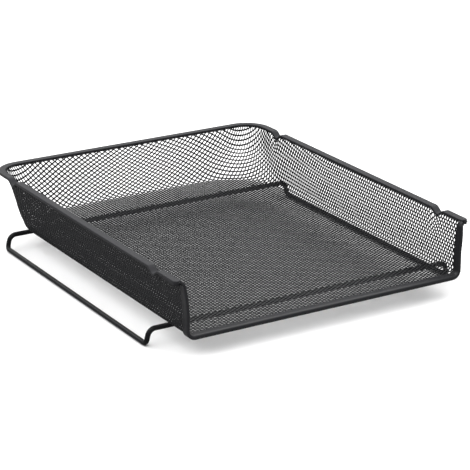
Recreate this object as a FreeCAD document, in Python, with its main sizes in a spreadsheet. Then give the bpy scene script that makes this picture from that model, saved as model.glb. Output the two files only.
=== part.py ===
"""Letter tray, expanded-metal pan on a bent foot wire.

Frame: millimetres, +Z up, the open front faces -Y, X = 0 is the plane of symmetry and Z = 0 is the
table top under the foot wire.  Four pieces: mesh_pan, top_rim, front_binding, foot_wire.
"""
import math
import os

import FreeCAD
import Part
import Sketcher

V = FreeCAD.Vector
doc = FreeCAD.newDocument("letter_tray")

# ---------------------------------------------------------------- sizes
SIZES = [
    ("tray_depth", 350.0), ("rim_width", 288.0), ("rim_top", 66.5),
    ("rim_face", 7.0), ("rim_sheet", 0.8), ("rim_skirt", 4.0), ("rim_hem", 1.5),
    ("rim_corner", 26.0), ("rim_nose", 4.0),
    ("notch_rear", 126.0), ("notch_front", -134.5), ("notch_half", 10.0), ("notch_deep", 4.6),
    ("sheet", 1.0), ("floor_under", 17.0), ("floor_bend", 6.0), ("wall_inset", 9.8),
    ("neck_inset", 8.0), ("neck_height", 59.7), ("flare_start", 40.0), ("flare_bend", 5.0),
    ("flange_inset", 1.2), ("pan_setback", 0.8), ("flange_setback", 8.2),
    ("strip_deep", 8.0), ("strip_cover", 0.8), ("strip_slack", 0.3), ("strip_under", 15.0),
    ("strip_over", 18.8), ("strip_top", 61.4), ("strip_bend", 8.0),
    ("wire_thick", 4.4), ("wire_half", 150.5), ("wire_lean", 3.0), ("wire_gap", 0.3),
    ("arm_bend", 7.0), ("foot_bend", 4.0),
]
# plan radius of the rear corners, wide at the floor and tight under the rim
CORNERS = [(17.0, 58.0), (23.0, 51.5), (28.0, 43.0), (35.0, 35.0), (42.0, 30.0), (50.0, 25.0)]

sheet = doc.addObject("Spreadsheet::Sheet", "Sizes")
for row, (alias, value) in enumerate(SIZES, start=1):
    sheet.set(f"A{row}", alias)
    sheet.set(f"B{row}", str(value))
    sheet.setAlias(f"B{row}", alias)
doc.recompute()
S = dict(SIZES)


def corner_at(z):
    """Plan radius of a rear corner of the pan's outer face at height z."""
    knots = CORNERS + [(S["neck_height"], S["rim_corner"] - S["neck_inset"])]
    for (z0, r0), (z1, r1) in zip(knots, knots[1:]):
        if z <= z1:
            return r0 + (r1 - r0) * (z - z0) / (z1 - z0)
    return knots[-1][1]


def place(obj, base, axis=V(0, 0, 1), angle=0.0):
    obj.Placement = FreeCAD.Placement(base, FreeCAD.Rotation(axis, angle))


def bind(obj, links):
    for prop, text in links.items():
        obj.setExpression(prop, text)


def tie(sk, name, kind, args, text):
    """Dimension `name` in sketch `sk`, driven by the expression `text`."""
    index = sk.addConstraint(Sketcher.Constraint(kind, *args))
    sk.renameConstraint(index, name)
    sk.setExpression(f"Constraints.{name}", text)


def line(sk, a, b):
    return sk.addGeometry(Part.LineSegment(V(a[0], a[1], 0), V(b[0], b[1], 0)), False)


def arc(sk, centre, radius, start, end):
    circle = Part.Circle(V(centre[0], centre[1], 0), V(0, 0, 1), radius)
    curve = Part.ArcOfCircle(circle, math.radians(start), math.radians(end))
    return sk.addGeometry(curve, False)


def horseshoe(name, z, inset, radius, front, z_text, inset_text, radius_text, front_text):
    """Closed outline: square front corners, rounded rear corners, `inset` inside the rim edge."""
    half = S["rim_width"] / 2 - inset
    back = S["tray_depth"] / 2 - inset
    sk = doc.addObject("Sketcher::SketchObject", name)
    line(sk, (-half, front), (half, front))
    line(sk, (half, front), (half, back - radius))
    arc(sk, (half - radius, back - radius), radius, 0, 90)
    line(sk, (half - radius, back), (radius - half, back))
    arc(sk, (radius - half, back - radius), radius, 90, 180)
    line(sk, (-half, back - radius), (-half, front))
    joints = [("Coincident", 0, 2, 1, 1), ("Tangent", 1, 2, 2, 1), ("Tangent", 2, 2, 3, 1),
              ("Tangent", 3, 2, 4, 1), ("Tangent", 4, 2, 5, 1), ("Coincident", 5, 2, 0, 1),
              ("Horizontal", 0), ("Vertical", 1), ("Horizontal", 3), ("Vertical", 5), ("Equal", 2, 4)]
    for kind, *args in joints:
        sk.addConstraint(Sketcher.Constraint(kind, *args))
    tie(sk, "right", "DistanceX", (-1, 1, 1, 1, half), f"Sizes.rim_width / 2 - {inset_text}")
    tie(sk, "left", "DistanceX", (5, 1, -1, 1, half), f"Sizes.rim_width / 2 - {inset_text}")
    tie(sk, "back", "DistanceY", (-1, 1, 3, 1, back), f"Sizes.tray_depth / 2 - {inset_text}")
    tie(sk, "front", "DistanceY", (0, 1, -1, 1, -front), front_text)
    tie(sk, "radius", "Radius", (2, radius), radius_text)
    place(sk, V(0, 0, z))
    sk.setExpression("Placement.Base.z", z_text)
    return sk


def extrude(name, sk, direction, text):
    """Straight extrusion of a sketch along a world direction; its length is the expression `text`."""
    ex = doc.addObject("Part::Extrusion", name)
    ex.Base = sk
    ex.DirMode = "Custom"
    ex.Dir = direction
    ex.LengthFwd = 1.0
    ex.Solid = True
    ex.setExpression("LengthFwd", text)
    return ex


def fuse(name, shapes):
    out = doc.addObject("Part::MultiFuse", name)
    out.Shapes = shapes
    out.Refine = True
    return out


def cut(name, base, tool):
    out = doc.addObject("Part::Cut", name)
    out.Base = base
    out.Tool = tool
    out.Refine = True
    return out


# ---------------------------------------------------------------- mesh_pan
# One pressed sheet: floor, two side walls and a back wall that bend out into a flange at the top.
def pan_sections(label, skin, front, front_text):
    """Horseshoe sections of the pan's outer (skin 0) or inner (skin = sheet) face, floor to flange."""
    out = []
    skin_text = "Sizes.sheet" if skin else "0"
    under = S["floor_under"] + skin
    bend = S["floor_bend"] - skin
    wall = S["wall_inset"] + skin

    def add(z, inset, radius, z_text, inset_text):
        name = f"{label}_{len(out)}"
        text = f"{round(radius, 3)} - {skin_text}"
        out.append(horseshoe(name, z, inset, radius - skin, front, z_text, inset_text, text, front_text))

    for degrees in (0.0, 22.5, 45.0, 67.5, 90.0):
        rise = 1 - math.cos(math.radians(degrees))
        lean = 1 - math.sin(math.radians(degrees))
        z = under + bend * rise
        radius = corner_at(z - skin) - bend * lean
        add(z, wall + bend * lean, radius,
            f"Sizes.floor_under + {skin_text} + (Sizes.floor_bend - {skin_text}) * {rise:.6f}",
            f"(Sizes.wall_inset + {skin_text} + (Sizes.floor_bend - {skin_text}) * {lean:.6f})")
    for z, radius in CORNERS[2:4]:
        add(z, wall, radius, f"{z}", f"(Sizes.wall_inset + {skin_text})")
    climb = S["wall_inset"] - S["neck_inset"]
    for z in (S["flare_start"], CORNERS[5][0], S["neck_height"]):
        part = (z - S["flare_start"]) / (S["neck_height"] - S["flare_start"])
        add(z, wall - climb * part, corner_at(z), f"{z}",
            f"(Sizes.wall_inset + {skin_text} - (Sizes.wall_inset - Sizes.neck_inset) * {part:.6f})")
    roll = S["flare_bend"] + skin
    for degrees in (22.5, 45.0, 67.5, 90.0):
        rise = math.sin(math.radians(degrees))
        reach = 1 - math.cos(math.radians(degrees))
        inset = S["neck_inset"] + skin - roll * reach
        add(S["neck_height"] + roll * rise, inset, S["rim_corner"] - inset + skin,
            f"Sizes.neck_height + (Sizes.flare_bend + {skin_text}) * {rise:.6f}",
            f"(Sizes.neck_inset + {skin_text} - (Sizes.flare_bend + {skin_text}) * {reach:.6f})")
    return out


def loft(name, sections):
    out = doc.addObject("Part::Loft", name)
    out.Sections = sections
    out.Solid = True
    out.Ruled = True
    return out


pan_front = -S["tray_depth"] / 2 + S["pan_setback"]
outer = loft("pan_outer", pan_sections("outer_section", 0.0, pan_front,
                                       "Sizes.tray_depth / 2 - Sizes.pan_setback"))
inner = loft("pan_inner", pan_sections("inner_section", S["sheet"], pan_front - 6,
                                       "Sizes.tray_depth / 2 - Sizes.pan_setback + 6"))
flange_z = S["neck_height"] + S["flare_bend"]
flange = extrude("pan_flange", horseshoe(
    "flange_outline", flange_z, S["flange_inset"], S["rim_corner"] - S["flange_inset"], pan_front,
    "Sizes.neck_height + Sizes.flare_bend", "Sizes.flange_inset",
    "Sizes.rim_corner - Sizes.flange_inset", "Sizes.tray_depth / 2 - Sizes.pan_setback"),
    V(0, 0, 1), "Sizes.sheet")
pan_hull = fuse("pan_hull", [outer, flange])
pan_open = cut("pan_open", pan_hull, inner)


def notch_edge(centre, drop):
    """Points (y, z) of one notch in the rim's top face, lowered by `drop`, with their expressions."""
    steps = 10
    points = []
    for i in range(steps + 1):
        across = -1 + 2 * i / steps
        sink = 0.5 * (1 + math.cos(math.pi * across))
        y = S[centre] + S["notch_half"] * across
        z = S["rim_top"] - drop[0] - S["notch_deep"] * sink
        y_text = f"Sizes.{centre} + Sizes.notch_half * {across:.6f}"
        z_text = f"Sizes.rim_top - {drop[1]} - Sizes.notch_deep * {sink:.6f}"
        points.append((y, z, y_text, z_text))
    return points


def notch_loops(name, x, x_text, upper, lower):
    """Sketch in a plane of constant X: one closed loop per notch between two lowered notch edges."""
    sk = doc.addObject("Sketcher::SketchObject", name)
    for centre in ("notch_front", "notch_rear"):
        loop = notch_edge(centre, lower) + notch_edge(centre, upper)[::-1]
        first = sk.GeometryCount
        for k, point in enumerate(loop):
            line(sk, point, loop[(k + 1) % len(loop)])
        for k, (y, z, y_text, z_text) in enumerate(loop):
            before = first + (k - 1) % len(loop)
            sk.addConstraint(Sketcher.Constraint("Coincident", before, 2, first + k, 1))
            tie(sk, f"y{first + k}", "DistanceX", (-1, 1, first + k, 1, y), y_text)
            tie(sk, f"z{first + k}", "DistanceY", (-1, 1, first + k, 1, z), z_text)
    place(sk, V(x, 0, 0), V(1, 1, 1), 120)
    sk.setExpression("Placement.Base.x", x_text)
    return sk


def mirrored(name, source):
    out = doc.addObject("Part::Mirroring", name)
    out.Source = source
    out.Normal = V(1, 0, 0)
    return out


# the flange and the neck are pressed down out of the way of the four notches of the rim
gap_x = S["rim_width"] / 2 - S["neck_inset"] - 3
gap_x_text = "Sizes.rim_width / 2 - Sizes.neck_inset - 3"
gap_sketch = notch_loops("pan_notch_loops", gap_x, gap_x_text, (-9.0, "(-9)"),
                         (S["rim_hem"] + 0.4, "(Sizes.rim_hem + 0.4)"))
gap = extrude("pan_notch", gap_sketch, V(1, 0, 0), "Sizes.neck_inset + 6")
gaps = fuse("pan_notches", [gap, mirrored("pan_notch_left", gap)])

# the flange stops short of the front so that the rim's rounded ends close over it
trims = []
for side in (-1, 1):
    box = doc.addObject("Part::Box", f"pan_trim_{'right' if side > 0 else 'left'}")
    bind(box, {"Length": "Sizes.neck_inset + 1", "Width": "Sizes.flange_setback + 2", "Height": "6",
               "Placement.Base.x": f"{side} * (Sizes.rim_width / 2 - Sizes.neck_inset / 2 + 0.9)"
                                   " - (Sizes.neck_inset + 1) / 2",
               "Placement.Base.y": "-Sizes.tray_depth / 2 - 2",
               "Placement.Base.z": "Sizes.strip_top"})
    trims.append(box)

# the floor's front edge is crimped a little thinner where the binding grips it
crimp = doc.addObject("Part::Box", "pan_crimp")
bind(crimp, {"Length": "Sizes.rim_width - 2 * (Sizes.wall_inset + Sizes.floor_bend)",
             "Width": "Sizes.strip_deep + 1.2", "Height": "0.1",
             "Placement.Base.x": "-Sizes.rim_width / 2 + Sizes.wall_inset + Sizes.floor_bend",
             "Placement.Base.y": "-Sizes.tray_depth / 2 - 1",
             "Placement.Base.z": "Sizes.floor_under + Sizes.sheet - 0.1"})
mesh_pan = cut("mesh_pan", pan_open, fuse("pan_cuts", [gaps, crimp] + trims))

# ---------------------------------------------------------------- top_rim
# Folded channel over the flange: flat top face, outer skirt, short inner hem, rounded front ends.
def ring(name, z, z_text, gap0, gap0_text, gap1, gap1_text):
    """Rim-shaped band between two insets from the rim's outer edge, closed by round front ends."""
    sk = doc.addObject("Sketcher::SketchObject", name)
    half = S["rim_width"] / 2
    back = S["tray_depth"] / 2
    corner = S["rim_corner"]
    cap = (gap1 - gap0) / 2
    nose = -back + S["rim_nose"] + S["rim_face"] / 2
    for inset in (gap0, gap1):
        line(sk, (half - inset, nose), (half - inset, back - corner))
        arc(sk, (half - corner, back - corner), corner - inset, 0, 90)
        line(sk, (half - corner, back - inset), (corner - half, back - inset))
        arc(sk, (corner - half, back - corner), corner - inset, 90, 180)
        line(sk, (inset - half, back - corner), (inset - half, nose))
    for k in (0, 5):
        for a in range(k, k + 4):
            sk.addConstraint(Sketcher.Constraint("Tangent", a, 2, a + 1, 1))
        for a, kind in ((k, "Vertical"), (k + 2, "Horizontal"), (k + 4, "Vertical")):
            sk.addConstraint(Sketcher.Constraint(kind, a))
    right = arc(sk, (half - gap0 - cap, nose), cap, 180, 360)
    left = arc(sk, (gap0 + cap - half, nose), cap, 180, 360)
    for kind, a, i, b, j in (("Tangent", 0, 1, right, 2), ("Coincident", 5, 1, right, 1),
                             ("Tangent", 4, 2, left, 1), ("Coincident", 9, 2, left, 2)):
        sk.addConstraint(Sketcher.Constraint(kind, a, i, b, j))
    edge = "Sizes.rim_width / 2"
    for k, inset, text in ((0, gap0, gap0_text), (5, gap1, gap1_text)):
        tie(sk, f"right{k}", "DistanceX", (-1, 1, k, 1, half - inset), f"{edge} - {text}")
        tie(sk, f"left{k}", "DistanceX", (k + 4, 2, -1, 1, half - inset), f"{edge} - {text}")
        tie(sk, f"back{k}", "DistanceY", (-1, 1, k + 2, 1, back - inset), f"Sizes.tray_depth / 2 - {text}")
        for a in (k + 1, k + 3):
            tie(sk, f"radius{a}", "Radius", (a, corner - inset), f"Sizes.rim_corner - {text}")
    reach = "Sizes.tray_depth / 2 - Sizes.rim_nose - Sizes.rim_face / 2"
    for name_, geo, point in (("end0", 0, 1), ("end5", 5, 1), ("end4", 4, 2), ("end9", 9, 2)):
        tie(sk, name_, "DistanceY", (geo, point, -1, 1, -nose), reach)
    place(sk, V(0, 0, z))
    sk.setExpression("Placement.Base.z", z_text)
    return sk


skirt_z = S["rim_top"] - S["rim_skirt"]
body = extrude("rim_body", ring("rim_outline", skirt_z, "Sizes.rim_top - Sizes.rim_skirt", 0.0, "0",
                                S["rim_face"], "Sizes.rim_face"), V(0, 0, 1), "Sizes.rim_skirt")
hollow = extrude("rim_hollow", ring(
    "rim_hollow_outline", skirt_z - 1, "Sizes.rim_top - Sizes.rim_skirt - 1", S["rim_sheet"],
    "Sizes.rim_sheet", S["rim_face"] - S["rim_sheet"], "(Sizes.rim_face - Sizes.rim_sheet)"),
    V(0, 0, 1), "Sizes.rim_skirt + 1 - Sizes.rim_sheet")
relief = extrude("rim_relief", ring(
    "rim_relief_outline", skirt_z - 1, "Sizes.rim_top - Sizes.rim_skirt - 1", S["rim_face"] - 1.5,
    "(Sizes.rim_face - 1.5)", S["rim_face"] + 1.5, "(Sizes.rim_face + 1.5)"),
    V(0, 0, 1), "Sizes.rim_skirt + 1 - Sizes.rim_hem")
windows = []
for centre in ("notch_front", "notch_rear"):
    box = doc.addObject("Part::Box", f"rim_window_{centre[6:]}")
    bind(box, {"Length": "Sizes.rim_width + 4",
               "Width": "2 * Sizes.notch_half",
               "Height": "Sizes.rim_skirt + 2",
               "Placement.Base.x": "-Sizes.rim_width / 2 - 2",
               "Placement.Base.y": f"Sizes.{centre} - Sizes.notch_half",
               "Placement.Base.z": "Sizes.rim_top - Sizes.rim_skirt - 1"})
    windows.append(box)
channel = cut("rim_channel", body, fuse("rim_voids", [hollow, relief] + windows))

edge_x = S["rim_width"] / 2
dips = []
for name, x, x_text, drop, drop_text, width_text in (
        ("dip_face", edge_x - S["rim_face"], "Sizes.rim_width / 2 - Sizes.rim_face",
         S["rim_sheet"], "Sizes.rim_sheet", "Sizes.rim_face"),
        ("dip_skirt", edge_x - S["rim_sheet"], "Sizes.rim_width / 2 - Sizes.rim_sheet",
         S["rim_skirt"], "Sizes.rim_skirt", "Sizes.rim_sheet"),
        ("dip_hem", edge_x - S["rim_face"], "Sizes.rim_width / 2 - Sizes.rim_face",
         S["rim_hem"], "Sizes.rim_hem", "Sizes.rim_sheet")):
    loops = notch_loops(f"{name}_loops", x, x_text, (0.0, "0"), (drop, drop_text))
    dips.append(extrude(name, loops, V(1, 0, 0), width_text))
dip_right = fuse("dip_right", dips)
top_rim = fuse("top_rim", [channel, dip_right, mirrored("dip_left", dip_right)])

# ---------------------------------------------------------------- front_binding
# Folded strip over the pan's cut front edge: up one side, across the lip and up the other side.
def strip_outline(name, y, y_text, clear, clear_text, under, under_text, bend, bend_text, top, top_text):
    """Open-topped U area in a plane of constant Y, `clear` outside the pan's outer wall face."""
    wall = S["rim_width"] / 2 - S["wall_inset"] + clear
    neck = S["rim_width"] / 2 - S["neck_inset"] + clear
    wall_text = f"Sizes.rim_width / 2 - Sizes.wall_inset + {clear_text}"
    slope = (S["wall_inset"] - S["neck_inset"]) / (S["neck_height"] - S["flare_start"])
    lip = neck + slope * (top - S["neck_height"])
    lip_text = (f"Sizes.rim_width / 2 - Sizes.neck_inset + {clear_text}"
                f" + {slope:.6f} * ({top_text} - Sizes.neck_height)")
    sk = doc.addObject("Sketcher::SketchObject", name)
    start = S["flare_start"]
    line(sk, (lip, top), (-lip, top))
    line(sk, (-lip, top), (-wall, start))
    line(sk, (-wall, start), (-wall, under + bend))
    arc(sk, (bend - wall, under + bend), bend, 180, 270)
    line(sk, (bend - wall, under), (wall - bend, under))
    arc(sk, (wall - bend, under + bend), bend, 270, 360)
    line(sk, (wall, under + bend), (wall, start))
    line(sk, (wall, start), (lip, top))
    joints = [("Coincident", 0, 2, 1, 1), ("Coincident", 1, 2, 2, 1), ("Tangent", 2, 2, 3, 1),
              ("Tangent", 3, 2, 4, 1), ("Tangent", 4, 2, 5, 1), ("Tangent", 5, 2, 6, 1),
              ("Coincident", 6, 2, 7, 1), ("Coincident", 7, 2, 0, 1), ("Horizontal", 0),
              ("Vertical", 2), ("Horizontal", 4), ("Vertical", 6), ("Equal", 3, 5)]
    for kind, *args in joints:
        sk.addConstraint(Sketcher.Constraint(kind, *args))
    tie(sk, "right", "DistanceX", (-1, 1, 6, 1, wall), wall_text)
    tie(sk, "left", "DistanceX", (2, 1, -1, 1, wall), wall_text)
    tie(sk, "lip_right", "DistanceX", (-1, 1, 0, 1, lip), lip_text)
    tie(sk, "lip_left", "DistanceX", (0, 2, -1, 1, lip), lip_text)
    tie(sk, "top", "DistanceY", (-1, 1, 0, 1, top), top_text)
    tie(sk, "start_left", "DistanceY", (-1, 1, 1, 2, start), "Sizes.flare_start")
    tie(sk, "start_right", "DistanceY", (-1, 1, 7, 1, start), "Sizes.flare_start")
    tie(sk, "under", "DistanceY", (-1, 1, 4, 1, under), under_text)
    tie(sk, "bend", "Radius", (3, bend), bend_text)
    place(sk, V(0, y, 0), V(1, 0, 0), 90)
    sk.setExpression("Placement.Base.y", y_text)
    return sk


back_y = -S["tray_depth"] / 2 + S["strip_deep"]
back_text = "-Sizes.tray_depth / 2 + Sizes.strip_deep"
cover = S["strip_cover"]
slack = S["strip_slack"]
strip_block = extrude("strip_block", strip_outline(
    "strip_outer_outline", back_y, back_text, cover, "Sizes.strip_cover", S["strip_under"],
    "Sizes.strip_under", S["strip_bend"], "Sizes.strip_bend", S["strip_top"], "Sizes.strip_top"),
    V(0, -1, 0), "Sizes.strip_deep")
strip_mouth = extrude("strip_mouth", strip_outline(
    "strip_inner_outline", back_y + 1, f"{back_text} + 1", -cover - S["sheet"],
    "(-Sizes.strip_cover - Sizes.sheet)", S["strip_over"], "Sizes.strip_over",
    S["floor_bend"] - 1.6, "Sizes.floor_bend - 1.6", S["strip_top"] + 1, "(Sizes.strip_top + 1)"),
    V(0, -1, 0), "Sizes.strip_deep + 2")
slot_outer = extrude("slot_outer", strip_outline(
    "slot_outer_outline", back_y + 1, f"{back_text} + 1", slack, "Sizes.strip_slack",
    S["floor_under"] - slack, "Sizes.floor_under - Sizes.strip_slack", S["floor_bend"] + slack,
    "Sizes.floor_bend + Sizes.strip_slack", S["strip_top"] + 1, "(Sizes.strip_top + 1)"),
    V(0, -1, 0), "Sizes.strip_deep + 1 - Sizes.pan_setback + Sizes.strip_slack")
slot_inner = extrude("slot_inner", strip_outline(
    "slot_inner_outline", back_y + 2, f"{back_text} + 2", -S["sheet"] - slack,
    "(-Sizes.sheet - Sizes.strip_slack)", S["floor_under"] + S["sheet"] + slack,
    "Sizes.floor_under + Sizes.sheet + Sizes.strip_slack", S["floor_bend"] - S["sheet"] - slack,
    "Sizes.floor_bend - Sizes.sheet - Sizes.strip_slack", S["strip_top"] + 2, "(Sizes.strip_top + 2)"),
    V(0, -1, 0), "Sizes.strip_deep + 3")
strip_slot = cut("strip_slot", slot_outer, slot_inner)
front_binding = cut("front_binding", strip_block, fuse("strip_voids", [strip_mouth, strip_slot]))

# ---------------------------------------------------------------- foot_wire
# One closed ring of round wire: two cross wires under the floor, four short legs leaning out and
# two long wires on the table just outside the rim.
radius = S["wire_thick"] / 2
arm_z = S["floor_under"] - S["wire_gap"] - radius
arm_text = "Sizes.floor_under - Sizes.wire_gap - Sizes.wire_thick / 2"
drop = arm_z - radius
leg = math.hypot(drop, S["wire_lean"])
tilt = math.degrees(math.atan2(S["wire_lean"], drop))
join = S["foot_bend"] + 1.0
join_x = S["wire_half"] - join * math.sin(math.radians(tilt))
join_z = radius + join * math.cos(math.radians(tilt))


def wire_circle(name, base, axis, angle):
    sk = doc.addObject("Sketcher::SketchObject", name)
    sk.addGeometry(Part.Circle(V(0, 0, 0), V(0, 0, 1), radius), False)
    sk.addConstraint(Sketcher.Constraint("Coincident", 0, 3, -1, 1))
    tie(sk, "radius", "Radius", (0, radius), "Sizes.wire_thick / 2")
    place(sk, base, axis, angle)
    return sk


def sweep(name, profile, spine):
    out = doc.addObject("Part::Sweep", name)
    out.Sections = [profile]
    out.Spine = (spine, [f"Edge{i + 1}" for i in range(5)])
    out.Solid = True
    out.Frenet = False
    return out


def bent_line(sk, points, bend, bend_text):
    """Three straight runs through four points, the two inner corners rounded to `bend`."""
    a, b, c, d = (V(x, y, 0) for x, y in points)
    lines = []
    corners = []
    for before, at, after in ((a, b, c), (b, c, d)):
        u = (before - at).normalize()
        w = (after - at).normalize()
        half = u.getAngle(w) / 2
        corners.append((at + u * (bend / math.tan(half)), at + w * (bend / math.tan(half)),
                        at + (u + w).normalize() * (bend / math.sin(half))))
    lines.append(line(sk, a, corners[0][0]))
    lines.append(line(sk, corners[0][1], corners[1][0]))
    lines.append(line(sk, corners[1][1], d))
    for k, (start, end, centre) in enumerate(corners):
        first = math.degrees(math.atan2(start.y - centre.y, start.x - centre.x))
        last = math.degrees(math.atan2(end.y - centre.y, end.x - centre.x))
        if (last - first) % 360 < 180:
            turn = arc(sk, centre, bend, first, last)
            ends = (1, 2)
        else:
            turn = arc(sk, centre, bend, last, first)
            ends = (2, 1)
        sk.addConstraint(Sketcher.Constraint("Tangent", lines[k], 2, turn, ends[0]))
        sk.addConstraint(Sketcher.Constraint("Tangent", lines[k + 1], 1, turn, ends[1]))
        tie(sk, f"bend{k}", "Radius", (turn, bend), bend_text)


runs = []
for centre in ("notch_front", "notch_rear"):
    y = S[centre]
    spine = doc.addObject("Sketcher::SketchObject", f"cross_spine_{centre[6:]}")
    reach = S["wire_half"] - S["wire_lean"]
    bent_line(spine, ((-join_x, join_z), (-reach, arm_z), (reach, arm_z), (join_x, join_z)),
              S["arm_bend"], "Sizes.arm_bend")
    spine.addConstraint(Sketcher.Constraint("Horizontal", 1))
    tie(spine, "height", "DistanceY", (-1, 1, 1, 1, arm_z), arm_text)
    across_text = f"Sizes.wire_half - {S['wire_half'] - join_x:.6f}"
    up_text = f"Sizes.wire_thick / 2 + {join_z - radius:.6f}"
    tie(spine, "foot_left", "DistanceX", (0, 1, -1, 1, join_x), across_text)
    tie(spine, "foot_right", "DistanceX", (-1, 1, 2, 2, join_x), across_text)
    tie(spine, "low_left", "DistanceY", (-1, 1, 0, 1, join_z), up_text)
    tie(spine, "low_right", "DistanceY", (-1, 1, 2, 2, join_z), up_text)
    place(spine, V(0, y, 0), V(1, 0, 0), 90)
    spine.setExpression("Placement.Base.y", f"Sizes.{centre}")
    disc = wire_circle(f"cross_disc_{centre[6:]}", V(-join_x, y, join_z), V(0, 1, 0), tilt)
    disc.setExpression("Placement.Base.y", f"Sizes.{centre}")
    runs.append(sweep(f"cross_wire_{centre[6:]}", disc, spine))

for side, label in ((-1, "left"), (1, "right")):
    spine = doc.addObject("Sketcher::SketchObject", f"side_spine_{label}")
    bent_line(spine, ((S["notch_front"], join), (S["notch_front"], 0), (S["notch_rear"], 0),
                      (S["notch_rear"], join)), S["foot_bend"], "Sizes.foot_bend")
    spine.addConstraint(Sketcher.Constraint("Vertical", 0))
    spine.addConstraint(Sketcher.Constraint("Horizontal", 1))
    spine.addConstraint(Sketcher.Constraint("Vertical", 2))
    tie(spine, "front", "DistanceX", (0, 1, -1, 1, -S["notch_front"]), "-Sizes.notch_front")
    tie(spine, "rear", "DistanceX", (-1, 1, 2, 2, S["notch_rear"]), "Sizes.notch_rear")
    tie(spine, "rise_front", "DistanceY", (-1, 1, 0, 1, join), "Sizes.foot_bend + 1")
    tie(spine, "rise_rear", "DistanceY", (-1, 1, 2, 2, join), "Sizes.foot_bend + 1")
    spine.addConstraint(Sketcher.Constraint("PointOnObject", 1, 1, -1))
    turn = FreeCAD.Rotation(V(1, 1, 1), 120)
    spine.Placement = FreeCAD.Placement(
        V(side * S["wire_half"], 0, radius), FreeCAD.Rotation(V(0, 1, 0), -side * tilt) * turn)
    start = V(side * join_x, S["notch_front"], join_z)
    disc = wire_circle(f"side_disc_{label}", start, V(0, 1, 0), -side * tilt)
    disc.setExpression("Placement.Base.y", "Sizes.notch_front")
    runs.append(sweep(f"side_wire_{label}", disc, spine))
foot_wire = fuse("foot_wire", runs)

# ---------------------------------------------------------------- check and write
PIECES = {"mesh_pan": mesh_pan, "top_rim": top_rim, "front_binding": front_binding, "foot_wire": foot_wire}
for name, piece in PIECES.items():
    piece.Label = name
doc.recompute()

for obj in doc.Objects:
    bad = [s for s in obj.State if s in ("Invalid", "Error")]
    if bad:
        raise RuntimeError(f"{obj.Name}: {bad}")
    if hasattr(obj, "Shape") and (obj.Shape.isNull() or not obj.Shape.isValid()):
        raise RuntimeError(f"{obj.Name}: shape is null or not valid")

os.makedirs("parts", exist_ok=True)
for name, piece in PIECES.items():
    shape = piece.Shape
    box = shape.BoundBox
    print(f"{name}: solids {len(shape.Solids)} volume {shape.Volume:.0f} mm3 "
          f"x {box.XMin:.2f} {box.XMax:.2f} y {box.YMin:.2f} {box.YMax:.2f} z {box.ZMin:.2f} {box.ZMax:.2f}")
    shape.exportStep(f"parts/{name}.step")
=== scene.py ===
"""Letter tray: a pressed expanded-steel pan with a folded rim, a bound front edge and a foot wire."""
import math

import bmesh
import bpy
from mathutils import Matrix, Vector


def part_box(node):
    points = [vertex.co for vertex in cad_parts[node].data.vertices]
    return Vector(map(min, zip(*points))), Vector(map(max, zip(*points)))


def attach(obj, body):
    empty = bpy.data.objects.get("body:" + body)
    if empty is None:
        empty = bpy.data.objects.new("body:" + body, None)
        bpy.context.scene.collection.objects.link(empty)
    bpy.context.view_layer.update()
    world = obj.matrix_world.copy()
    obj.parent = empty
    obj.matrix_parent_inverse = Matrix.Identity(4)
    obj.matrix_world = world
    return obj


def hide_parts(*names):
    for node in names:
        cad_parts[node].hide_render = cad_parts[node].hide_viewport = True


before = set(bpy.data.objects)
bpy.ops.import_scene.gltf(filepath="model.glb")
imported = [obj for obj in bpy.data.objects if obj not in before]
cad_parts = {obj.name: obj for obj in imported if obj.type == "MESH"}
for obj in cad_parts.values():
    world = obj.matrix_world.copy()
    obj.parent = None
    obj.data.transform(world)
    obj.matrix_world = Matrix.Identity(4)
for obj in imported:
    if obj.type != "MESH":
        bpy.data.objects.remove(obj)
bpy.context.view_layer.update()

MM = 0.001

# ---------------------------------------------------------------- mesh pan
# One sheet of expanded steel: slit, pulled open into diamonds, and pressed in one blow into a floor,
# two side walls and a back wall. Its top bends out into a narrow flange that the rim is folded over.
pan_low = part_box("mesh_pan")[0]
rim_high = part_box("top_rim")[1]
strip_low, strip_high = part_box("front_binding")
HALF, BACK, FRONT, TOP = rim_high.x, rim_high.y, strip_low.y, rim_high.z  # the tray's outer edges

# the expanded sheet
DIAMOND_LONG, DIAMOND_SHORT = 6.2 * MM, 3.5 * MM  # pitch of the diamonds, across and front to back
STRAND = 1.0 * MM
GAUGE = 0.6 * MM
STRAND_TWIST = 0.16 * MM  # the slitting knife tips each strand: this far up and down at its edges
NET_SIDE = 176  # diamonds along each side of the net before it is trimmed
NET_SHIFT = 11 * DIAMOND_SHORT / 2  # brings the net's rows to where the front edge is sheared
SHEARED_Y = FRONT + 2.5 * MM
TRIM_SPARE = 0.5 * MM
EDGE_BAND, EDGE_PULL = 1.0 * MM, 0.7  # what sticks out into the flange's last band is pulled back so far

# the pressed section, from the floor out to the flange
CORNER_CENTRE = 67.8 * MM  # in from the rim's outer edge: the rear corners are pressed round it
CENTRE_X, CENTRE_Y = HALF - CORNER_CENTRE, BACK - CORNER_CENTRE
FLOOR_Z = pan_low.z + 0.5 * MM
FLOOR_REACH = 52.0 * MM
SHEET_BEND = 5.5 * MM
NECK_BEND = 3.0 * MM
WALL_Z, LEAN_Z, NECK_Z = FLOOR_Z + SHEET_BEND, 40.0 * MM, 62.2 * MM  # wall, leaning part, neck start here
NECK_LEAN = 1.8 * MM
FLANGE = 4.2 * MM
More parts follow.
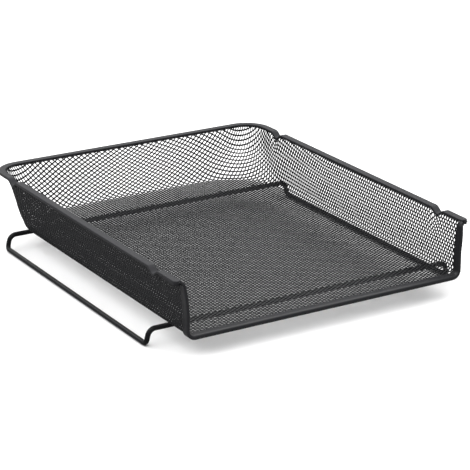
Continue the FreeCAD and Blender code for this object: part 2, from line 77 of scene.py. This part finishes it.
# the corners are wide at the floor and tight under the rim: (height, plan radius)
CORNER_RADII = ((FLOOR_Z, 52.0 * MM), (WALL_Z, 51.0 * MM), (28.0 * MM, 42.5 * MM), (35.0 * MM, 34.5 * MM),
                (42.0 * MM, 29.5 * MM), (50.0 * MM, 24.5 * MM), (NECK_Z, 17.5 * MM))
BEND_PATH = SHEET_BEND * math.pi / 2
WALL_PATH = LEAN_Z - WALL_Z
LEAN_PATH = math.hypot(NECK_LEAN, NECK_Z - LEAN_Z)
NECK_PATH = NECK_BEND * math.pi / 2
SHEET_REACH = FLOOR_REACH + BEND_PATH + WALL_PATH + LEAN_PATH + NECK_PATH + FLANGE

# how the sheet flows into the rear corners as it is pressed
STRAIGHT_ON = 30.0 * MM  # the sheet runs straight on past the corner centre this far before it turns
TURN_OVER = 28.0 * MM  # up the walls the floor's plain flow changes to that turn over this much path
SQUARED = 0.7  # how far that turn takes the rows from an arc to straight runs with a tighter arc
BACK_DRAW, CORNER_DRAW = 0.07, 0.48  # how much longer the back wall and the corners are drawn
DRAWN_FROM, DRAWN_OVER = 59.0 * MM, 135.0 * MM  # full draw in the corner, dying away along the walls

NOTCHES = (126.0 * MM, -134.5 * MM)
NOTCH_HALF, NOTCH_DEEP = 10.0 * MM, 4.6 * MM
NOTCH_TIGHT = 1.4  # above 1 the notch is narrower than a plain wave
DIP_FROM = 42.0 * MM  # above this height the walls sink with the notches


def between(value, low, high):
    """How far a value has come from low to high, from 0 to 1."""
    return min(1.0, max(0.0, (value - low) / (high - low)))


def notch_dip(y):
    """How far the notches for the next tray's foot wire drop the rim's top at y."""
    across = min(1.0, min(abs(y - centre) for centre in NOTCHES) / NOTCH_HALF)
    return NOTCH_DEEP * (0.5 * (1 + math.cos(math.pi * across))) ** NOTCH_TIGHT


def corner_radius(z):
    """Plan radius of the rear corners at a height."""
    for (low, wide), (high, tight) in zip(CORNER_RADII, CORNER_RADII[1:]):
        if z <= high:
            return wide + (tight - wide) * between(z, low, high)
    return CORNER_RADII[-1][1]


def sheet_section(path):
    """Reach, height, slope and corner radius of the pressed sheet, `path` out from the corner centre."""
    if path <= FLOOR_REACH:
        return path, FLOOR_Z, 0.0, max(path, 0.0) * CORNER_RADII[0][1] / FLOOR_REACH
    path -= FLOOR_REACH
    if path <= BEND_PATH:
        turn = path / SHEET_BEND
        z = FLOOR_Z + SHEET_BEND * (1 - math.cos(turn))
        return FLOOR_REACH + SHEET_BEND * math.sin(turn), z, turn, corner_radius(z)
    path -= BEND_PATH
    reach = FLOOR_REACH + SHEET_BEND
    if path <= WALL_PATH:
        return reach, WALL_Z + path, math.pi / 2, corner_radius(WALL_Z + path)
    path -= WALL_PATH
    if path <= LEAN_PATH:
        z = LEAN_Z + (NECK_Z - LEAN_Z) * path / LEAN_PATH
        return reach + NECK_LEAN * path / LEAN_PATH, z, math.pi / 2, corner_radius(z)
    path -= LEAN_PATH
    turn = min(path, NECK_PATH) / NECK_BEND
    reach += NECK_LEAN + NECK_BEND * (1 - math.cos(turn)) + max(0.0, path - NECK_PATH)
    radius = CORNER_RADII[-1][1] + reach - FLOOR_REACH - SHEET_BEND - NECK_LEAN
    return reach, NECK_Z + NECK_BEND * math.sin(turn), math.pi / 2 - turn, radius


def blank_place(point):
    """Where a blank point lies: its share of the way round the corner, that way's length, and path."""
    out_x, out_y = abs(point.x) - CENTRE_X, point.y - CENTRE_Y
    if out_x > 0 and out_y > 0:
        out, round_it = math.hypot(out_x, out_y), math.atan2(out_y, out_x)
        # the floor keeps its plain flow; up the walls only the outer part of the corner turns
        turn_x, turn_y = max(0.0, out_x - STRAIGHT_ON), max(0.0, out_y - STRAIGHT_ON)
        turn_out = math.hypot(turn_x, turn_y)
        way = 2 * STRAIGHT_ON + turn_out * math.pi / 2
        gone = (min(out_y, STRAIGHT_ON) + turn_out * math.atan2(turn_y, turn_x)
                + max(0.0, STRAIGHT_ON - out_x))
        mix = between(out, FLOOR_REACH, FLOOR_REACH + TURN_OVER)
        share = round_it / (math.pi / 2) * (1 - mix) + gone / way * mix
        way = out * math.pi / 2 * (1 - mix) + way * mix
        out += SQUARED * mix * (STRAIGHT_ON + turn_out - out)
    else:
        out, round_it = (out_x, 0.0) if out_x >= out_y else (out_y, math.pi / 2)
        share, way = round_it / (math.pi / 2), 0.0
    near = between(max(DRAWN_FROM - out_x, DRAWN_FROM - out_y), DRAWN_OVER, 0.0)
    draw = 1 + BACK_DRAW * math.sin(round_it) ** 2 + CORNER_DRAW * near * near * (3 - 2 * near)
    return share, way, min(out, FLOOR_REACH) + max(0.0, out - FLOOR_REACH) * draw


def gathered(share):
    """Running total of a hump that is highest half-way round a corner, where the sheet gathers."""
    return share - math.sin(2 * math.pi * share) / (2 * math.pi)


def pressed(point):
    """Where the press puts a point of the flat blank, which lies in X and Y; Z is off the sheet."""
    side = math.copysign(1.0, point.x)
    out_x, out_y = abs(point.x) - CENTRE_X, point.y - CENTRE_Y
    share, way, path = blank_place(point)
    reach, z, slope, radius = sheet_section(path)
    if out_x > 0 and out_y > 0:
        straight = reach - radius
        length = 2 * straight + radius * math.pi / 2
        along = way * share + (length - way) * gathered(share)
        if along < straight:
            x, y, face = reach, along, 0.0
        elif along > length - straight:
            x, y, face = length - along, reach, math.pi / 2
        else:
            face = (along - straight) / max(radius, MM)
            x, y = straight + radius * math.cos(face), straight + radius * math.sin(face)
    else:
        x, y, face = (reach, out_y, 0.0) if out_x >= out_y else (out_x, reach, math.pi / 2)
    x += CENTRE_X - point.z * math.sin(slope) * math.cos(face)
    y += CENTRE_Y - point.z * math.sin(slope) * math.sin(face)
    z += point.z * math.cos(slope)
    if face < math.pi / 4:
        z -= notch_dip(y) * between(z, DIP_FROM, NECK_Z)
    return Vector((side * x, y, z))


# the blank: a square net turned on its corner and stretched, then every diamond opened
blank = bmesh.new()
bmesh.ops.create_grid(blank, x_segments=NET_SIDE, y_segments=NET_SIDE, size=NET_SIDE / 2)
bmesh.ops.rotate(blank, verts=blank.verts, cent=(0, 0, 0), matrix=Matrix.Rotation(math.radians(45), 3, "Z"))
bmesh.ops.scale(blank, verts=blank.verts,
                vec=(DIAMOND_LONG / math.sqrt(2), DIAMOND_SHORT / math.sqrt(2), 1))
bmesh.ops.translate(blank, verts=blank.verts, vec=(0, NET_SHIFT, 0))
waste = [f for f in blank.faces if blank_place(f.calc_center_median())[2] > SHEET_REACH - TRIM_SPARE
         or f.calc_center_median().y < SHEARED_Y - DIAMOND_SHORT / 2]
bmesh.ops.delete(blank, geom=waste, context="FACES")
diamonds = blank.faces[:]
bmesh.ops.inset_individual(blank, faces=diamonds, thickness=STRAND / 2, use_even_offset=True)
for hole in diamonds:
    middle = hole.calc_center_median()
    for corner in hole.verts:
        corner.co.z = STRAND_TWIST * (corner.co.y - middle.y) / (DIAMOND_SHORT / 2)
bmesh.ops.delete(blank, geom=diamonds, context="FACES_ONLY")
bmesh.ops.bisect_plane(blank, geom=blank.verts[:] + blank.edges[:] + blank.faces[:],
                       plane_co=(0, SHEARED_Y, 0), plane_no=(0, -1, 0), clear_outer=True)


def shader_group(name, inputs, outputs):
    """An empty node group with its sockets: inputs are (name, type, default), outputs (name, type)."""
    group = bpy.data.node_groups.new(name, "ShaderNodeTree")
    for socket_name, kind, default in inputs:
        socket = group.interface.new_socket(socket_name, in_out="INPUT", socket_type=kind)
        socket.default_value = default
    for socket_name, kind in outputs:
        group.interface.new_socket(socket_name, in_out="OUTPUT", socket_type=kind)
    return group


def node(tree, kind, links=(), **settings):
    """Adds one node to a tree. Settings are its properties, links its inputs: a value or a socket."""
    made = tree.nodes.new(kind)
    for key, value in settings.items():
        setattr(made, key, value)
    for key, value in dict(links).items():
        if isinstance(value, bpy.types.NodeSocket):
            tree.links.new(value, made.inputs[key])
        else:
            made.inputs[key].default_value = value
    return made


# Powder paint baked on steel: a fine orange-peel skin, patches where it lies thicker, and faint dust.
PATCHES_PER_METRE = 38.0
PATCH_SHEEN, PEEL_SHEEN = 0.16, 0.12  # how much the roughness varies from patch to patch, and in the peel
PEEL_SHOWS = 0.6  # strength of the peel in the paint's relief
powder = shader_group("powder_paint", [
    ("Paint", "NodeSocketColor", (0.01, 0.01, 0.01, 1)),
    ("Dusty", "NodeSocketColor", (0.03, 0.03, 0.03, 1)),
    ("Sheen roughness", "NodeSocketFloat", 0.4), ("Peel size", "NodeSocketFloat", 900.0)],
    [("Color", "NodeSocketColor"), ("Roughness", "NodeSocketFloat"), ("Height", "NodeSocketFloat")])
given = powder.nodes.new("NodeGroupInput")
place = node(powder, "ShaderNodeTexCoord").outputs["Object"]
peel = node(powder, "ShaderNodeTexNoise", {"Vector": place, "Scale": given.outputs["Peel size"],
                                           "Detail": 2.0, "Roughness": 0.55})
patches = node(powder, "ShaderNodeTexNoise", {"Vector": place, "Scale": PATCHES_PER_METRE, "Detail": 3.0,
                                              "Roughness": 0.6})
patch = node(powder, "ShaderNodeMapRange", {"Value": patches.outputs["Fac"], "From Min": 0.35,
                                            "From Max": 0.7, "To Min": 0.0, "To Max": 0.6})
colour = node(powder, "ShaderNodeMix", {"Factor": patch.outputs["Result"], "A": given.outputs["Paint"],
                                        "B": given.outputs["Dusty"]}, data_type="RGBA")
rough = node(powder, "ShaderNodeMath", {0: patches.outputs["Fac"], 1: PATCH_SHEEN, 2: -PATCH_SHEEN / 2},
             operation="MULTIPLY_ADD")
rough = node(powder, "ShaderNodeMath", {0: rough.outputs[0], 1: given.outputs["Sheen roughness"]},
             operation="ADD")
grain = node(powder, "ShaderNodeMath", {0: peel.outputs["Fac"], 1: PEEL_SHEEN, 2: -PEEL_SHEEN / 2},
             operation="MULTIPLY_ADD")
rough = node(powder, "ShaderNodeMath", {0: rough.outputs[0], 1: grain.outputs[0]}, operation="ADD")
node(powder, "NodeGroupOutput", {"Color": colour.outputs["Result"], "Roughness": rough.outputs[0],
                                 "Height": peel.outputs["Fac"]})


def painted_steel(name, paint, dusty, sheen, peel_size, peel_depth, reflect):
    """Powder-painted steel: the shared paint skin with this piece's own colours and shine."""
    made = bpy.data.materials.new(name)
    made.use_nodes = True
    tree = made.node_tree
    shader = tree.nodes["Principled BSDF"]
    shader.inputs["Specular IOR Level"].default_value = reflect
    skin = node(tree, "ShaderNodeGroup", node_tree=powder)
    skin.inputs["Paint"].default_value = (*paint, 1)
    skin.inputs["Dusty"].default_value = (*dusty, 1)
    skin.inputs["Sheen roughness"].default_value = sheen
    skin.inputs["Peel size"].default_value = peel_size
    bump = node(tree, "ShaderNodeBump", {"Height": skin.outputs["Height"], "Distance": peel_depth,
                                         "Strength": PEEL_SHOWS})
    tree.links.new(skin.outputs["Color"], shader.inputs["Base Color"])
    tree.links.new(skin.outputs["Roughness"], shader.inputs["Roughness"])
    tree.links.new(bump.outputs["Normal"], shader.inputs["Normal"])
    return made


SHARP_FOLD = math.radians(50)


def finished(name, bm, paint, thickness=0.0, offset=-1.0, smooth=False):
    """Turns a bmesh into the piece `name`, with its paint and, for bent sheet, its thickness."""
    mesh = bpy.data.meshes.new(name)
    bm.to_mesh(mesh)
    bm.free()
    mesh.materials.append(paint)
    piece = bpy.data.objects.new(name, mesh)
    bpy.context.scene.collection.objects.link(piece)
    if smooth:
        mesh.shade_smooth()
        mesh.set_sharp_from_angle(angle=SHARP_FOLD)
    if thickness:
        wall = piece.modifiers.new("sheet thickness", "SOLIDIFY")
        wall.thickness, wall.offset = thickness, offset
        wall.use_even_offset = smooth
    return piece


mesh_paint = painted_steel("mesh_black", paint=(0.0095, 0.01, 0.0115), dusty=(0.0155, 0.016, 0.018),
                           sheen=0.42, peel_size=1300.0, peel_depth=0.03 * MM, reflect=0.2)
for side, pan_name in ((-1, "pan_mesh_left"), (1, "pan_mesh_right")):
    half = blank.copy()
    bmesh.ops.delete(half, geom=[f for f in half.faces if f.calc_center_median().x * side < 0],
                     context="FACES")
    for point in half.verts:
        over = max(0.0, blank_place(point.co)[2] - (SHEET_REACH - EDGE_BAND))
        if over:
            outward = (point.co.xy - Vector((side * CENTRE_X, CENTRE_Y))).normalized()
            point.co.xy -= outward * over * EDGE_PULL
        point.co = pressed(point.co)
    pan_half = finished(pan_name, half, mesh_paint, GAUGE, 0.0)
    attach(pan_half, "root")
    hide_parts("mesh_pan")
blank.free()

# ---------------------------------------------------------------- top rim
# Strip steel folded into a channel and closed down over the pan's flange: a flat top, a skirt outside
# and a short hem inside. Its front ends are rounded noses, and four notches are pinched into it.
RIM_FACE, RIM_SKIRT, RIM_HEM, RIM_SHEET = 7.0 * MM, 2.4 * MM, 2.6 * MM, 0.8 * MM
RIM_FOLD, RIM_CORNER = 0.9 * MM, 26.0 * MM
NOSE_DEEP, NOSE_SETBACK = 4.2 * MM, 4.0 * MM
NOSE_X, NOSE_Y = HALF - RIM_FACE / 2, FRONT + NOSE_SETBACK + RIM_FACE / 2
SKIRT_DEEPENS = (-145.0 * MM, -158.0 * MM)  # ahead of the front notch the skirt deepens to the nose's
SKIRT_STOP = -156.0 * MM


def parts_of(geometry, kind):
    """The points, edges or faces in what an operator gives back."""
    return [part for part in geometry if isinstance(part, kind)]


def row_in(geometry):
    """The edges of a freshly drawn row: both their ends are among its points."""
    points = set(parts_of(geometry, bmesh.types.BMVert))
    return [e for e in parts_of(geometry, bmesh.types.BMEdge) if set(e.verts) <= points]


def drawn(bm, row, move):
    """Draws a row of edges on by one straight move and gives the new row."""
    made = bmesh.ops.extrude_edge_only(bm, edges=row)["geom"]
    bmesh.ops.translate(bm, vec=move, verts=parts_of(made, bmesh.types.BMVert))
    return row_in(made)


def points_of(row):
    """The points of a row of edges, each once, in the row's order."""
    return list(dict.fromkeys(v for e in row for v in e.verts))


def rolled(bm, row, centre, axis, degrees, steps):
    """Draws a row of edges on round a bend and gives the new row."""
    made = bmesh.ops.spin(bm, geom=row + points_of(row), cent=centre, axis=axis,
                          angle=math.radians(degrees), steps=steps, use_duplicate=False)
    return row_in(made["geom_last"])


def mirrored(bm, axis, at=0.0):
    """Doubles a bmesh across the plane `axis` = at and joins the halves."""
    shift = Vector([at if letter == axis else 0.0 for letter in "XYZ"])
    bmesh.ops.translate(bm, verts=bm.verts, vec=-shift)
    bmesh.ops.mirror(bm, geom=bm.verts[:] + bm.edges[:] + bm.faces[:], axis=axis, merge_dist=0.01 * MM,
                     matrix=Matrix.Identity(4))
    bmesh.ops.translate(bm, verts=bm.verts, vec=shift)
    bmesh.ops.remove_doubles(bm, verts=bm.verts, dist=0.005 * MM)


def folds(bm, degrees):
    """The edges of a bent strip where its faces meet at more than so many degrees."""
    return [e for e in bm.edges if len(e.link_faces) == 2
            and e.calc_face_angle(0.0) > math.radians(degrees)]


rim = bmesh.new()
strip = [rim.verts.new((HALF - inset, NOSE_Y, TOP - down)) for inset, down in
         ((0, NOSE_DEEP), (0, 0), (RIM_FACE / 2, 0), (RIM_FACE, 0), (RIM_FACE, RIM_HEM))]
row = [rim.edges.new(pair) for pair in zip(strip, strip[1:])]
rolled(rim, row[:2], (NOSE_X, NOSE_Y, 0), (0, 0, -1), 180, 12)
for point in rim.verts:  # the nose is closed in front by a deeper skirt, which dies into the hem
    if point.co.z < TOP - RIM_SKIRT / 2 and point not in strip[3:]:
        ahead = math.atan2(NOSE_Y - point.co.y, point.co.x - NOSE_X)
        point.co.z += (NOSE_DEEP - RIM_HEM) * between(ahead, math.pi / 2, math.pi) ** 2
stops = [NOSE_Y, SKIRT_STOP]
for notch in sorted(NOTCHES):
    stops += [notch + NOTCH_HALF * step / 10 for step in range(-10, 11)] + [notch + 2 * NOTCH_HALF]
stops = [y for y in stops if y < BACK - RIM_CORNER] + [BACK - RIM_CORNER]
for here, there in zip(stops, stops[1:]):
    row = drawn(rim, row, (0, there - here, 0))
    for point in points_of(row):
        if point.co.x > NOSE_X and point.co.z < TOP - RIM_SKIRT / 2:
            point.co.z = TOP - RIM_SKIRT - (NOSE_DEEP - RIM_SKIRT) * between(there, *SKIRT_DEEPENS)
row = rolled(rim, row, (HALF - RIM_CORNER, BACK - RIM_CORNER, 0), (0, 0, 1), 90, 14)
for step in range(4):
    row = drawn(rim, row, ((RIM_CORNER - HALF) / 4, 0, 0))
mirrored(rim, "X")
bmesh.ops.recalc_face_normals(rim, faces=rim.faces)
if sum(f.normal.z * f.calc_area() for f in rim.faces) < 0:
    bmesh.ops.reverse_faces(rim, faces=rim.faces)
bmesh.ops.bevel(rim, geom=folds(rim, 60), offset=RIM_FOLD, segments=5, profile=0.5, affect="EDGES",
                material=-1, clamp_overlap=True)
for point in rim.verts:
    point.co.z -= notch_dip(point.co.y)
rim_paint = painted_steel("rim_charcoal", paint=(0.022, 0.0223, 0.025), dusty=(0.028, 0.0283, 0.031),
                          sheen=0.45, peel_size=700.0, peel_depth=0.04 * MM, reflect=0.14)
rim_piece = finished("rim_channel", rim, rim_paint, RIM_SHEET, -1.0, smooth=True)
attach(rim_piece, "root")
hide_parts("top_rim")

# ---------------------------------------------------------------- front binding
# Strip steel folded double over the pan's cut front edge: across the lip, round the lower corners and
# up both sides, where it runs out under the rim's noses. The fold is at the front.
STRIP_SHEET, STRIP_FOLD = 0.8 * MM, 1.1 * MM
STRIP_DEEP, STRIP_Y = strip_high.y - strip_low.y, (strip_high.y + strip_low.y) / 2
LIP_UNDER, LIP_OVER = strip_low.z, strip_low.z + 3.8 * MM
LEAF_OUT = HALF - 9.0 * MM  # the outer leaf stands here up the wall, the inner one a little further in
LEAF_IN = LEAF_OUT - 2.6 * MM
BEND_OUT, BEND_IN = 8.0 * MM, 4.4 * MM
OUTER_CENTRE = (LEAF_OUT - BEND_OUT, LIP_UNDER + BEND_OUT)
INNER_CENTRE = (LEAF_IN - BEND_IN, LIP_OVER + BEND_IN)
LEAF_NECK = (HALF - 3.0 * MM, 59.7 * MM)  # both leaves roll outwards round this, into the nose
FOLD_LEAN, LEAN_FROM = 3.0 * MM, LEAF_NECK[1] - 12.0 * MM
CORNER_STEPS, CORNER_STEP = 8, 90 / 8
RISE_STEPS = 6
ROLL_STEPS, ROLL_STEP = 6, 9

binding = bmesh.new()
strip = [binding.verts.new((0, y, z)) for y, z in
         ((strip_high.y, LIP_UNDER), (strip_low.y, LIP_UNDER), (strip_low.y, LIP_OVER),
          (strip_high.y, LIP_OVER))]
row = [binding.edges.new(pair) for pair in zip(strip, strip[1:])]


def leaves_drawn(row, inward, outer, inner):
    """Draws the doubled strip on. Its outer and inner leaf, along `inward`, each get their own change."""
    made = bmesh.ops.extrude_edge_only(binding, edges=row)["geom"]
    points = {p: p.co.copy() for p in parts_of(made, bmesh.types.BMVert)}
    middle = sum(points.values(), Vector()) / len(points)
    for leaf, (change, *values) in ((1, outer), (-1, inner)):
        verts = [p for p, co in points.items() if (co - middle).dot(inward) * leaf < 0]
        if change == "move":
            bmesh.ops.translate(binding, verts=verts, vec=(values[0], 0, values[1]))
        else:
            bmesh.ops.rotate(binding, verts=verts, cent=(values[0], 0, values[1]),
                             matrix=Matrix.Rotation(math.radians(values[2]), 3, "Y"))
    return row_in(made)


def turned_by(degrees):
    """Which way is inwards for a strip whose run has turned up from the lip by so many degrees."""
    return Vector((-math.sin(math.radians(degrees)), 0, math.cos(math.radians(degrees))))


row = leaves_drawn(row, turned_by(0), ("move", OUTER_CENTRE[0], 0), ("move", INNER_CENTRE[0], 0))
for step in range(CORNER_STEPS):
    row = leaves_drawn(row, turned_by(CORNER_STEP * step), ("turn", *OUTER_CENTRE, -CORNER_STEP),
                       ("turn", *INNER_CENTRE, -CORNER_STEP))
row = leaves_drawn(row, turned_by(90), ("move", 0, LEAN_Z - OUTER_CENTRE[1]),
                   ("move", 0, LEAN_Z - INNER_CENTRE[1]))
rise = ("move", NECK_LEAN / RISE_STEPS, (LEAF_NECK[1] - LEAN_Z) / RISE_STEPS)
for step in range(RISE_STEPS):
    row = leaves_drawn(row, turned_by(90), rise, rise)
roll = ("turn", *LEAF_NECK, ROLL_STEP)
for step in range(ROLL_STEPS):
    row = leaves_drawn(row, turned_by(90 - ROLL_STEP * step), roll, roll)
for point in binding.verts:  # near the top the front fold leans back, in under the nose
    ahead = (strip_high.y - point.co.y) / STRIP_DEEP
    point.co.y += FOLD_LEAN * ahead * between(point.co.z, LEAN_FROM, TOP) ** 2
mirrored(binding, "X")
bmesh.ops.recalc_face_normals(binding, faces=binding.faces)
if sum((f.calc_center_median().y - STRIP_Y) * f.normal.y * f.calc_area() for f in binding.faces) < 0:
    bmesh.ops.reverse_faces(binding, faces=binding.faces)
bmesh.ops.bevel(binding, geom=folds(binding, 60), offset=STRIP_FOLD, segments=4, profile=0.5,
                affect="EDGES", material=-1, clamp_overlap=True)
strip_paint = painted_steel("strip_black", paint=(0.0155, 0.0158, 0.018), dusty=(0.021, 0.0212, 0.0235),
                            sheen=0.42, peel_size=800.0, peel_depth=0.04 * MM, reflect=0.2)
binding_piece = finished("edge_strip", binding, strip_paint, STRIP_SHEET, -1.0, smooth=True)
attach(binding_piece, "root")
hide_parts("front_binding")

# ---------------------------------------------------------------- foot wire
# Drawn steel wire bent into one closed ring and butt welded: two cross wires under the floor, four
# short legs leaning out, and two long wires that stand on the table.
wire_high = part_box("foot_wire")[1]
WIRE = 2.2 * MM  # radius
WELD_GAP, LEG_LEAN = 0.3 * MM, 3.0 * MM
ARM_Z = pan_low.z - WELD_GAP - WIRE
FOOT_X, ARM_X = wire_high.x - WIRE, wire_high.x - WIRE - LEG_LEAN
ARM_BEND, FOOT_BEND = 7.0 * MM, 4.0 * MM
leg = Vector((FOOT_X - ARM_X, 0, WIRE - ARM_Z))
leg_turn = math.atan2(-leg.z, leg.x)
arm_end = ARM_X - ARM_BEND * math.tan(leg_turn / 2)
leg_length = leg.length - ARM_BEND * math.tan(leg_turn / 2) - FOOT_BEND
leg.normalize()
rear_y, mid_y = NOTCHES[0], sum(NOTCHES) / 2

wire = bmesh.new()
bmesh.ops.create_circle(wire, segments=20, radius=WIRE, cap_ends=False)
bmesh.ops.rotate(wire, verts=wire.verts, cent=(0, 0, 0), matrix=Matrix.Rotation(math.radians(90), 3, "Y"))
bmesh.ops.translate(wire, verts=wire.verts, vec=(0, rear_y, ARM_Z))
row = drawn(wire, wire.edges[:], (arm_end, 0, 0))
row = rolled(wire, row, (arm_end, 0, ARM_Z - ARM_BEND), (0, 1, 0), math.degrees(leg_turn), 9)
row = drawn(wire, row, leg * leg_length)
foot_start = Vector((FOOT_X, rear_y, WIRE)) - leg * FOOT_BEND
row = rolled(wire, row, foot_start - Vector((0, FOOT_BEND, 0)), leg.cross(Vector((0, -1, 0))), 90, 8)
row = drawn(wire, row, (0, mid_y - (rear_y - FOOT_BEND), 0))
mirrored(wire, "Y", mid_y)
mirrored(wire, "X")
bmesh.ops.recalc_face_normals(wire, faces=wire.faces)
wire_paint = painted_steel("wire_black", paint=(0.0055, 0.0057, 0.0066), dusty=(0.009, 0.0092, 0.0102),
                           sheen=0.3, peel_size=900.0, peel_depth=0.03 * MM, reflect=0.16)
wire_piece = finished("foot_ring", wire, wire_paint, smooth=True)
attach(wire_piece, "root")
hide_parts("foot_wire")

# ---------------------------------------------------------------- welds
# Resistance welds hold the cross wires to the floor: small flattened nuggets between the wire and the
# strands, seven along each wire, painted over with the rest.
WELD_PITCH, WELDS_EACH_SIDE = 37.0 * MM, 3
NUGGET, NUGGET_FLAT, NUGGET_RISE = 1.5 * MM, (1.25, 1.5, 0.45), 0.05 * MM
welds = bmesh.new()
for weld_y in NOTCHES:
    for step in range(-WELDS_EACH_SIDE, WELDS_EACH_SIDE + 1):
        before = set(welds.verts)
        bmesh.ops.create_uvsphere(welds, u_segments=12, v_segments=8, radius=NUGGET)
        nugget = [v for v in welds.verts if v not in before]
        bmesh.ops.scale(welds, verts=nugget, vec=NUGGET_FLAT)
        bmesh.ops.translate(welds, verts=nugget, vec=(step * WELD_PITCH, weld_y, pan_low.z + NUGGET_RISE))
weld_piece = finished("foot_welds", welds, wire_paint, smooth=True)
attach(weld_piece, "root")

# ---------------------------------------------------------------- studio
# A plain pale sheet under the tray, one broad soft light over it, and the camera. The sheet looks white,
# but throws only a little light back up at the tray.
FLOOR_GAP = 0.05 * MM
FLOOR_SEEN, FLOOR_GIVES = 0.95, 0.34
AIR_LIGHT, TOP_LIGHT, TOP_LIGHT_SPREAD = 0.24, 5.1, 125
CAMERA_PLACE, CAMERA_AIM = (-0.8760, -1.4723, 0.6439), (0.48695, 0.80487, -0.33923)
CAMERA_SENSOR, CAMERA_LENS = 36.0, 156.5
floor_mesh = bmesh.new()
bmesh.ops.create_grid(floor_mesh, x_segments=1, y_segments=1, size=6)
bmesh.ops.translate(floor_mesh, verts=floor_mesh.verts, vec=(0, 0, -FLOOR_GAP))
paper = bpy.data.materials.new("studio_paper")
paper.use_nodes = True
sheet_shader = paper.node_tree.nodes["Principled BSDF"]
ray = node(paper.node_tree, "ShaderNodeLightPath")
tone = node(paper.node_tree, "ShaderNodeMix",
            {"Factor": ray.outputs["Is Camera Ray"], "A": (FLOOR_GIVES, FLOOR_GIVES, FLOOR_GIVES, 1),
             "B": (FLOOR_SEEN, FLOOR_SEEN, FLOOR_SEEN, 1)}, data_type="RGBA")
paper.node_tree.links.new(tone.outputs["Result"], sheet_shader.inputs["Base Color"])
sheet_shader.inputs["Roughness"].default_value = 0.95
sheet_shader.inputs["Specular IOR Level"].default_value = 0.0
table = finished("studio_floor", floor_mesh, paper)

world = bpy.data.worlds.new("studio_air")
bpy.context.scene.world = world
world.use_nodes = True
world.node_tree.nodes["Background"].inputs["Color"].default_value = (1, 1, 1, 1)
world.node_tree.nodes["Background"].inputs["Strength"].default_value = AIR_LIGHT


def soft_light(name, towards, strength, spread):
    """A distant diffused light that shines `towards` a direction and fills `spread` degrees of sky."""
    light = bpy.data.lights.new(name, "SUN")
    light.energy, light.angle = strength, math.radians(spread)
    lamp = bpy.data.objects.new(name, light)
    lamp.rotation_euler = Vector(towards).to_track_quat("-Z", "Y").to_euler()
    bpy.context.scene.collection.objects.link(lamp)


soft_light("top_light", (0.0, -0.15, -1.0), TOP_LIGHT, TOP_LIGHT_SPREAD)

camera_data = bpy.data.cameras.new("camera")
camera_data.sensor_width, camera_data.lens = CAMERA_SENSOR, CAMERA_LENS
camera_data.clip_start, camera_data.clip_end = 0.05, 50
camera = bpy.data.objects.new("camera", camera_data)
camera.location = CAMERA_PLACE
camera.rotation_euler = Vector(CAMERA_AIM).to_track_quat("-Z", "Y").to_euler()
bpy.context.scene.collection.objects.link(camera)
bpy.context.scene.camera = camera
bpy.context.scene.view_settings.view_transform = "Standard"
